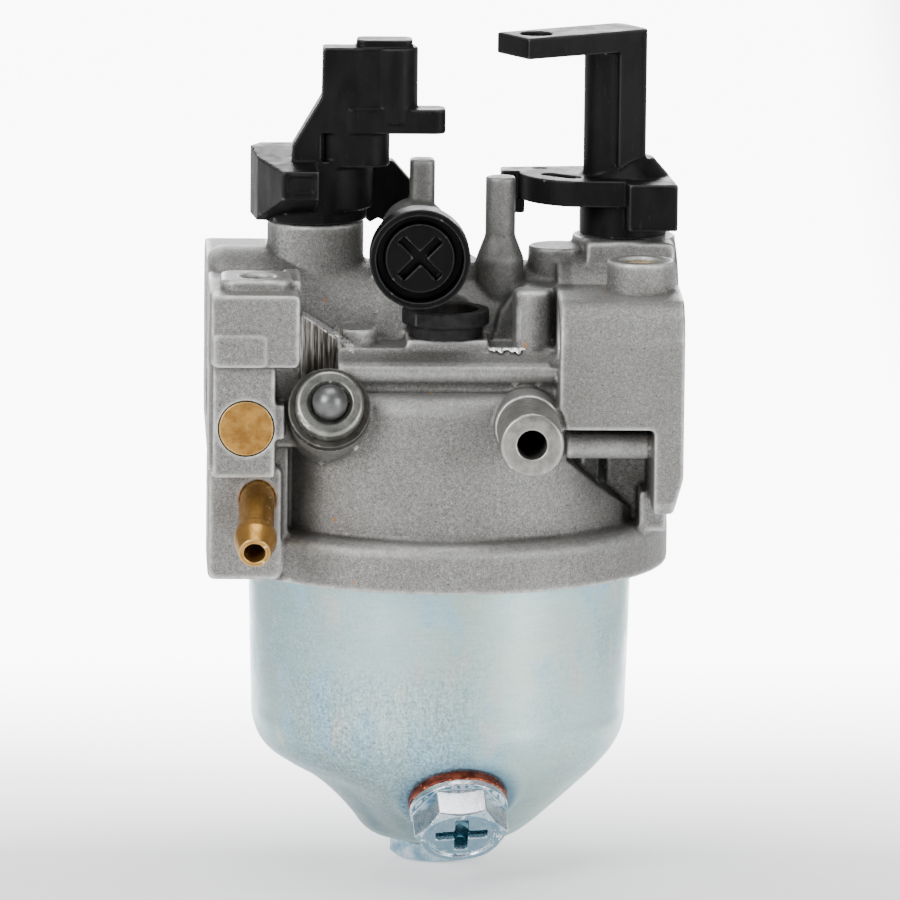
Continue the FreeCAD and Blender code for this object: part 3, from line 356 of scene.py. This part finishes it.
def bright_zinc():
    """Bright blue zinc on machined hexagons; "recess" and "calm" are values stored on the drain bolt."""
    s = Surface("bright_zinc")
    tint = s.ramp(s.noise(2.2, 3, 0.5), (0.34, (0.20, 0.34, 0.46)), (0.5, (0.40, 0.54, 0.62)),
                  (0.66, (0.56, 0.64, 0.72)))
    grain = s.noise(0.15, 3, 0.6)
    smears = s.noise(0.7, 3, 0.7, s.stretch(s.place, (1, 0.4, 1), (30, 0, 20)))
    smears = s.ramp(smears, (0.56, 0.0), (0.66, 0.7))
    tint = s.mix(smears, tint, (0.13, 0.22, 0.28))
    # painted light: up-facing faces lighter, down-facing faces darker
    up = s.ramp(s.facing("Z"), (0.30, 0.0), (0.62, 1.0))
    down = s.ramp(s.maths("MULTIPLY", s.facing("Z"), -1.0), (0.35, 0.0), (0.65, 0.75))
    tint = s.mix(down, tint, s.mix(smears, (0.13, 0.25, 0.33), (0.30, 0.43, 0.52)))
    tint = s.mix(up, tint, (0.86, 0.90, 0.96))
    # painted shade in the cross of the drain bolt
    tint = s.mix(s.attribute("recess_shade"), tint, (0.11, 0.23, 0.28))
    # painted highlight along the edges, kept off the plain faces
    sharp = s.maths("SUBTRACT", 1.0, s.attribute("calm"))
    colour = s.mix(s.maths("MULTIPLY", s.edges(0.535, 0.60), sharp), tint, (0.92, 0.95, 0.97))
    # painted shade in the hollows, kept off the plain faces
    hollow_shade = s.ramp(s.edges(0.38, 0.46), (0.0, 0.9), (1.0, 0.0))
    colour = s.mix(s.maths("MULTIPLY", hollow_shade, sharp), colour, (0.035, 0.075, 0.10))
    s.bumps((s.noise(1.2, 2, 0.5), 0.05, 0.6), (grain, 0.012, 0.5))
    return s.finish(colour, 0.96, s.ramp(grain, (0.3, 0.20), (0.7, 0.31)))


def brass(name, dull):
    """Turned brass; dull is how much oxide stains it."""
    s = Surface(name)
    stain = s.ramp(s.noise(1.6, 4, 0.6), (0.42, 0.0), (0.66, 1.0))
    grain = s.noise(0.12, 3, 0.6)
    colour = s.mix(s.maths("MULTIPLY", stain, dull), (0.45, 0.24, 0.058), (0.21, 0.09, 0.019))
    colour = s.mix(0.25, colour, s.ramp(grain, (0.3, 0.3), (0.7, 0.7)), "OVERLAY")
    colour = s.mix(s.edges(0.51, 0.58), colour, (0.86, 0.62, 0.27))
    rough = s.mix(stain, s.ramp(grain, (0.3, 0.26), (0.7, 0.4)), 0.5)
    s.bumps((grain, 0.012, 0.6), (stain, 0.01, 0.3))
    return s.finish(colour, 0.9, rough)


def copper():
    """Soft copper washer, dark from handling, with bright edges."""
    s = Surface("copper")
    grain = s.noise(0.2, 3, 0.6)
    colour = s.ramp(s.noise(1.1, 3, 0.6), (0.35, (0.09, 0.020, 0.013)), (0.65, (0.27, 0.065, 0.035)))
    colour = s.mix(s.edges(0.55, 0.63), colour, (0.70, 0.24, 0.11))
    s.bumps((grain, 0.015, 0.6))
    return s.finish(colour, 0.85, s.ramp(grain, (0.3, 0.3), (0.7, 0.5)))


def black_nylon(name, paleness):
    """Moulded black nylon: satin skin with flow marks, rubs, small nicks, and grey edges that are a painted
    highlight.
    """
    s = Surface(name)
    skin = s.noise(0.3, 3, 0.6)
    flow = s.noise(2.4, 3, 0.5, s.stretch(s.place, (1, 1, 0.4)), 0.6)
    dark, light, scraped = (tuple(paleness * part for part in shade) for shade in (
        (0.0022, 0.0022, 0.0024), (0.0066, 0.0066, 0.007), (0.045, 0.045, 0.046)))
    colour = s.ramp(flow, (0.3, dark), (0.7, light))
    nicks = s.ramp(s.cells(1.4, s.stretch(s.place, (1, 1, 0.6), (10, 25, 40))), (0.03, 0.5), (0.07, 0.0))
    rubs = s.noise(0.35, 3, 0.7, s.stretch(s.place, (1, 0.5, 0.12), (0, 25, 0)))
    rubs = s.ramp(rubs, (0.64, 0.0), (0.74, 0.5))
    rubs = s.maths("MULTIPLY", s.maths("MAXIMUM", nicks, rubs), 0.5)
    colour = s.mix(rubs, colour, scraped)
    # painted highlight: grey lines along the edges
    colour = s.mix(s.edges(0.52, 0.58), colour, (0.075, 0.075, 0.077))
    rough = s.ramp(flow, (0.3, 0.34), (0.7, 0.5))
    s.bumps((flow, 0.05, 0.35), (skin, 0.015, 0.6), (nicks, 0.02, 0.4))
    return s.finish(colour, 0.0, rough, **{"Specular IOR Level": 0.10})


def black_rubber():
    """Matt black rubber with a dusty bloom."""
    s = Surface("black_rubber")
    skin = s.noise(0.25, 3, 0.6)
    colour = s.ramp(s.noise(1.5, 4, 0.6), (0.35, (0.008, 0.008, 0.0085)), (0.7, (0.022, 0.022, 0.022)))
    colour = s.mix(s.edges(0.53, 0.60), colour, (0.06, 0.06, 0.06))
    s.bumps((skin, 0.02, 0.6))
    return s.finish(colour, 0.0, s.ramp(skin, (0.3, 0.5), (0.7, 0.66)), **{"Specular IOR Level": 0.14})


def steel(name, dark, light, smooth, relief=0.55, wear_and_highlight=0.7):
    """Turned steel with fine grain and faint stains; smooth is its lowest roughness."""
    s = Surface(name)
    grain = s.noise(0.14, 3, 0.6)
    colour = s.ramp(s.noise(1.3, 4, 0.6), (0.3, dark), (0.7, light))
    colour = s.mix(0.3, colour, s.ramp(grain, (0.3, 0.3), (0.7, 0.7)), "OVERLAY")
    # edges painted bright, partly as wear and partly as a highlight
    colour = s.mix(s.maths("MULTIPLY", s.edges(0.51, 0.58), wear_and_highlight), colour, (0.80, 0.80, 0.78))
    s.bumps((grain, 0.015, relief))
    return s.finish(colour, 0.88, s.ramp(grain, (0.3, smooth), (0.7, smooth + 0.14)))


MATERIALS = {
    "casting": cast_aluminium(),
    "inlet_aluminium": steel("inlet_aluminium", (0.17, 0.162, 0.146), (0.37, 0.36, 0.337), 0.34),
    "zinc_steel": zinc_bowl(),
    "bright_zinc": bright_zinc(),
    "brass": brass("brass", 0.5),
    "copper": copper(),
    "black_nylon": black_nylon("black_nylon", 1.0),
    "black_rubber": black_rubber(),
    "gasket_rubber": black_rubber(),
    "steel": steel("steel", (0.15, 0.152, 0.14), (0.30, 0.30, 0.275), 0.30),
    "polished_steel": steel("polished_steel", (0.12, 0.122, 0.122), (0.18, 0.183, 0.183), 0.33,
                            relief=0.1, wear_and_highlight=0.0),
    "dark_steel": steel("dark_steel", (0.035, 0.033, 0.029), (0.075, 0.071, 0.063), 0.46, wear_and_highlight=0.15),
    "spring_steel": steel("spring_steel", (0.30, 0.30, 0.29), (0.45, 0.45, 0.43), 0.3),
    "float_plastic": black_nylon("float_plastic", 1.6),
}
# darker oxidised brass, also used as painted shade on the air jet
OXIDISED_AND_SHADED_BRASS = brass("oxidised_and_shaded_brass", 0.75)
KNOB_BLACK = black_nylon("knob_nylon", 0.35)
BURR_METAL = steel("burr_metal", (0.60, 0.60, 0.58), (0.86, 0.86, 0.84), 0.30)


# ---------------------------------------------------------------- mesh building blocks
def new_object(name, mesh):
    thing = bpy.data.objects.new(name, mesh)
    bpy.context.scene.collection.objects.link(thing)
    return thing


def bake_modifiers(thing):
    """Replace an object's mesh by what its modifiers make of it."""
    graph = bpy.context.evaluated_depsgraph_get()
    graph.update()
    mesh = bpy.data.meshes.new_from_object(thing.evaluated_get(graph))
    thing.modifiers.clear()
    thing.data = mesh
    return thing


def dress(piece, node):
    """Give a new piece its body, finish and material, and let it stand for its CAD node."""
    slot = SLOT_OF[node]
    piece.data.materials.clear()
    piece.data.materials.append(MATERIALS[slot])
    piece.data.polygons.foreach_set("use_smooth", [True] * len(piece.data.polygons))
    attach(piece, BODY_OF[node])
    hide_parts(node)
    return piece


def softened(node, voxel, passes):
    """A finely remeshed copy of a CAD node whose edges are rounded as cast or moulded."""
    piece = new_object(node + "_skin", NODES[node].data.copy())
    weld = bmesh.new()
    weld.from_mesh(piece.data)
    bmesh.ops.remove_doubles(weld, verts=weld.verts, dist=0.0001 * MM)
    weld.to_mesh(piece.data)
    weld.free()
    remesh = piece.modifiers.new("remesh", "REMESH")
    remesh.mode = "VOXEL"
    remesh.voxel_size = voxel * MM
    smooth = piece.modifiers.new("smooth", "SMOOTH")
    smooth.factor = 0.5
    smooth.iterations = passes
    return dress(bake_modifiers(piece), node)


# ---------------------------------------------------------------- camera, floor and light
def camera():
    """Long lens a little left of square-on, looking down 10 degrees, turned slightly."""
    azimuth, elevation, roll = math.radians(-2.0), math.radians(10.0), math.radians(0.65)
    distance, width_seen, sensor = 1.5, 0.1104, 36.0
    back = Vector((math.sin(azimuth) * math.cos(elevation), -math.cos(azimuth) * math.cos(elevation),
                   math.sin(elevation)))
    right = Vector((math.cos(azimuth), math.sin(azimuth), 0))
    up = back.cross(right)
    right, up = right * math.cos(roll) + up * math.sin(roll), up * math.cos(roll) - right * math.sin(roll)
    data = bpy.data.cameras.new("camera")
    data.sensor_width = sensor
    data.lens = sensor * distance / width_seen
    data.clip_end = 20.0
    thing = bpy.data.objects.new("camera", data)
    bpy.context.scene.collection.objects.link(thing)
    aim = Vector((0.02996, 0, -0.01339))
    turn = Matrix((right, up, back)).transposed().to_4x4()
    thing.matrix_world = Matrix.Translation(aim + back * distance) @ turn
    bpy.context.scene.camera = thing


def area_light(name, place, aim, size, power):
    data = bpy.data.lights.new(name, "AREA")
    data.shape = "RECTANGLE"
    data.size, data.size_y = size
    data.energy = power
    thing = bpy.data.objects.new(name, data)
    bpy.context.scene.collection.objects.link(thing)
    direction = Vector(aim) - Vector(place)
    thing.matrix_world = Matrix.Translation(place) @ direction.to_track_quat("-Z", "Y").to_matrix().to_4x4()


def studio():
    """A pale floor, dimmer close to the object, a white wall, two soft boxes in front, a weak top light."""
    floor_level = CAD_BOX[0][2] - 0.2 * MM
    bpy.ops.mesh.primitive_plane_add(size=6, location=(0, 0, floor_level))
    floor = bpy.context.object
    floor.name = "floor"
    s = Surface("studio_floor")
    shade = s.ramp(s.noise(60, 2, 0.5), (0.3, 0.80), (0.7, 0.83))
    away = s.maths("MULTIPLY_ADD", s.axis("Y"), 1.0 / 500, 0.1)
    glow = s.ramp(away, (0.0, 0.035), (0.10, 0.075), (0.20, 0.32), (0.36, 1.0))
    # only the part behind the object glows, so that its flanks mirror a dim room
    spread = s.maths("MULTIPLY_ADD", s.axis("Y"), 1.0 / 1500, 1.0)
    strip = s.within(s.maths("DIVIDE", s.maths("SUBTRACT", s.axis("X"), 30), spread), -62, 62, 22)
    glow = s.maths("MAXIMUM", s.maths("MULTIPLY", glow, strip), 0.06)
    glow = s.maths("MULTIPLY", glow, 9.0)
    floor.data.materials.append(s.finish(shade, 0.0, 0.9, **{
        "Emission Color": (1, 1, 1), "Emission Strength": glow}))
    world = bpy.data.worlds.new("studio")
    bpy.context.scene.world = world
    world.use_nodes = True
    sky = world.node_tree.nodes["Background"].inputs
    sky["Color"].default_value = (1, 1, 1, 1)
    sky["Strength"].default_value = 0.34
    # far white wall, above the picture, that the level faces mirror
    bpy.ops.mesh.primitive_plane_add(size=1, location=(0.03, 2.6, 0.55), rotation=(math.radians(90), 0, 0))
    wall = bpy.context.object
    wall.name = "wall"
    wall.scale = (1.5, 1.2, 1)
    w = Surface("studio_wall")
    cloth = w.ramp(w.noise(80, 2, 0.5), (0.3, 0.95), (0.7, 1.0))
    wall.data.materials.append(w.finish((0.9, 0.9, 0.9), 0.0, 0.9, **{
        "Emission Color": cloth, "Emission Strength": 8.0}))
    centre = (0.029, 0, -0.01)
    area_light("key", (-0.72, -0.80, 0.5), centre, (0.5, 0.55), 14.0)
    area_light("fill", (0.85, -0.72, 0.12), centre, (0.4, 0.7), 9.0)
    area_light("top", (0.03, -0.05, 0.7), centre, (0.5, 0.4), 3.6)


# ---------------------------------------------------------------- the bowl
def curve_through(points, count):
    """Evenly spaced points on a smooth curve through (radius, height) points."""
    spline = bpy.data.curves.new("profile", "CURVE")
    spline.dimensions = "3D"
    spline.resolution_u = 24
    line = spline.splines.new("BEZIER")
    line.bezier_points.add(len(points) - 1)
    for handle, (r, z) in zip(line.bezier_points, points):
        handle.co = (r, 0, z)
        handle.handle_left_type = handle.handle_right_type = "AUTO"
    thing = bpy.data.objects.new("profile", spline)
    mesh = bpy.data.meshes.new_from_object(thing)
    track = [v.co.copy() for v in mesh.vertices]
    bpy.data.objects.remove(thing)
    bpy.data.meshes.remove(mesh)
    lengths = [0.0]
    for a, b in zip(track, track[1:]):
        lengths.append(lengths[-1] + (b - a).length)
    out = []
    at = 0
    for i in range(count):
        want = lengths[-1] * i / (count - 1)
        while at < len(track) - 2 and lengths[at + 1] < want:
            at += 1
        share = (want - lengths[at]) / max(lengths[at + 1] - lengths[at], 1e-9)
        spot = track[at].lerp(track[at + 1], share)
        out.append((spot.x, spot.z))
    return out


def smooth_step(value, low, high):
    share = min(max((value - low) / (high - low), 0.0), 1.0)
    return share * share * (3 - 2 * share)


def bowl():
    """Pressed bowl: S-shaped foot at the left and back, straight cone in front and right, drain pad."""
    profile_points, sectors, sheet = 96, 220, 0.8
    cone_begins, cone_ends = (-50, -12), (100, 135)
    pad_radius, pad_blend_out, pad_blend_in, pad_reach = 6.6, 11.5, 8.4, 6
    low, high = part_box("fuel_bowl")
    centre = Vector(((low.x + high.x) / 2 / MM, 0, 0))
    lip, foot = high.z / MM, low.z / MM
    wall = [(23.5, lip), (23.25, -36), (23.0, -44)]
    ess = wall + [(22.8, -46.8), (21.6, -49.4), (19.0, -51.4), (15.9, -53.2), (12.9, -55.7),
                  (10.6, -58.2), (9.0, -60.2), (7.6, foot), (3.1, foot)]
    cone = wall + [(22.9, -46.4), (22.1, -48.7), (20.2, -51.3), (17.2, -54.3), (14.2, -57.1),
                   (11.6, -59.4), (9.6, -60.7), (8.0, foot), (3.1, foot)]
    profiles = zip(curve_through(ess, profile_points), curve_through(cone, profile_points))
    drain_out, drain_spot = drain_axis()
    mesh = bpy.data.meshes.new("bowl")
    build = bmesh.new()
    rings = []
    for (ess_r, ess_z), (cone_r, cone_z) in profiles:
        ring = []
        for i in range(sectors):
            turn = 360.0 * i / sectors
            around = (turn + 180) % 360 - 180
            share = smooth_step(around, *cone_begins) * (1 - smooth_step(around, *cone_ends))
            radius = ess_r * (1 - share) + cone_r * share
            height = ess_z * (1 - share) + cone_z * share
            angle = math.radians(turn)
            spot = centre + Vector((radius * math.sin(angle), -radius * math.cos(angle), height))
            off = spot - drain_spot
            along = off.dot(drain_out)
            apart = (off - drain_out * along).length
            if abs(along) < pad_reach:
                blend = pad_blend_out if along > 0 else pad_blend_in
                spot -= drain_out * along * (1 - smooth_step(apart, pad_radius, blend))
            ring.append(build.verts.new(spot * MM))
        rings.append(ring)
    for a, b in zip(rings, rings[1:]):
        for i in range(sectors):
            k = (i + 1) % sectors
            build.faces.new((a[i], a[k], b[k], b[i]))
    bmesh.ops.recalc_face_normals(build, faces=build.faces)
    build.to_mesh(mesh)
    build.free()
    piece = new_object("fuel_bowl_skin", mesh)
    shell = piece.modifiers.new("wall", "SOLIDIFY")
    shell.thickness = sheet * MM
    shell.offset = -1
    dress(bake_modifiers(piece), "fuel_bowl")


def drain_axis():
    """The outward direction of the drain bolt and the middle of its pad, in mm."""
    low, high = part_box("fuel_bowl")
    yaw, tilt = math.radians(DRAIN_YAW), math.radians(DRAIN_TILT)
    out = Vector((math.sin(yaw) * math.cos(tilt), -math.cos(yaw) * math.cos(tilt), math.sin(tilt)))
    centre_x = (low.x + high.x) / 2 / MM
    spot = Vector((centre_x + DRAIN_PAD_OUT * math.sin(yaw), -DRAIN_PAD_OUT * math.cos(yaw),
                   DRAIN_PAD_HEIGHT))
    return out, spot


def widen_dish(piece):
    """Spread the drain bolt's dish and cross out to the chamfer; mark painted shade in the cross, and mark
    the plain faces.
    """
    head_starts, plain_below, dish_floor = 2.9, 5.0, 5.15
    dish, wide_dish, chamfer = 3.4, 4.15, 5.0
    rim_share = (chamfer - wide_dish) / (chamfer - dish)
    out, spot = drain_axis()
    recess_shade = piece.data.attributes.new("recess_shade", "FLOAT", "POINT")
    calm = piece.data.attributes.new("calm", "FLOAT", "POINT")
    for vertex, mark, plain in zip(piece.data.vertices, recess_shade.data, calm.data):
        off = vertex.co / MM - spot
        along = off.dot(out)
        side = off - out * along
        r = side.length
        if along > head_starts and r < chamfer:
            spread = wide_dish / dish if r < dish else (wide_dish + (r - dish) * rim_share) / r
            vertex.co = (spot + out * along + side * spread) * MM
            mark.value = smooth_step(dish_floor - along, 0.05, 0.7)
            plain.value = 1 - smooth_step(r, 3.0, 3.25)
        elif along < plain_below:
            plain.value = 1 - smooth_step(r, 5.2, 5.45)


def recolour(piece, material):
    piece.data.materials[0] = material


def burr():
    """Ragged torn sliver along the front edge of the deck."""
    count, start_x, length, deck, thickness = 46, 33.9, 4.6, 1.93, 0.07
    chance = random.Random(11)
    torn = [chance.random() ** 1.8 for _ in range(count + 3)]
    build = bmesh.new()
    rows = []
    for i in range(count):
        x = start_x + length * i / (count - 1)
        ragged = torn[i] * 0.25 + torn[i + 1] * 0.3 + torn[i + 2] * 0.3 + torn[i + 3] * 0.15
        reach = (0.06 + 1.05 * ragged) * smooth_step(i, -1, 5) * (1 - smooth_step(i, count - 9, count))
        lift = 0.05 + 0.13 * abs(math.sin(i * 1.7))
        rows.append([build.verts.new(Vector(spot) * MM) for spot in (
            (x, -15.7, deck + lift * 0.5), (x, -16.05 - reach * 0.4, deck + lift),
            (x + 0.1 * math.sin(i * 3.1), -16.15 - reach, deck - 0.03 - reach * 0.55 + lift * 0.3))])
    for a, b in zip(rows, rows[1:]):
        for j in range(2):
            build.faces.new((a[j], a[j + 1], b[j + 1], b[j]))
    mesh = bpy.data.meshes.new("deck_burr")
    build.to_mesh(mesh)
    build.free()
    piece = new_object("deck_burr", mesh)
    sheet = piece.modifiers.new("sheet", "SOLIDIFY")
    sheet.thickness = thickness * MM
    bake_modifiers(piece)
    piece.data.materials.clear()
    piece.data.materials.append(BURR_METAL)
    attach(piece, "body")


# ---------------------------------------------------------------- every CAD node
# node: (size of the remeshed faces in mm, passes of smoothing)
FINE = {
    "body_casting": (0.26, 5),
    "throttle_lever": (0.17, 5),
    "choke_lever": (0.17, 5),
    "idle_speed_knob": (0.13, 4),
    "pilot_jet_cap": (0.14, 4),
    "fuel_inlet_tube": (0.15, 4),
    "bowl_bolt": (0.13, 5),
    "drain_bolt": (0.11, 9),
    "drain_washer": (0.12, 4),
    "passage_plug_ring": (0.12, 4),
    "passage_plug_sleeve": (0.12, 4),
    "passage_plug_ball": (0.10, 8),
    "vent_barb": (0.11, 3),
    "flange_brass_plug": (0.12, 2),
}
# what is done to a softened piece afterwards
OWN = {
    "flange_brass_plug": lambda piece: recolour(piece, OXIDISED_AND_SHADED_BRASS),
    "idle_speed_knob": lambda piece: recolour(piece, KNOB_BLACK),
    "drain_bolt": widen_dish,
}
for node, thing in NODES.items():
    thing.data.materials.clear()
    # the air jet deep in the bore gets the darker oxidised brass as painted shade
    thing.data.materials.append(OXIDISED_AND_SHADED_BRASS if node == "air_jet" else MATERIALS[SLOT_OF[node]])
for node, (voxel, passes) in FINE.items():
    piece = softened(node, voxel, passes)
    if node in OWN:
        OWN[node](piece)
bowl()
burr()
camera()
studio()
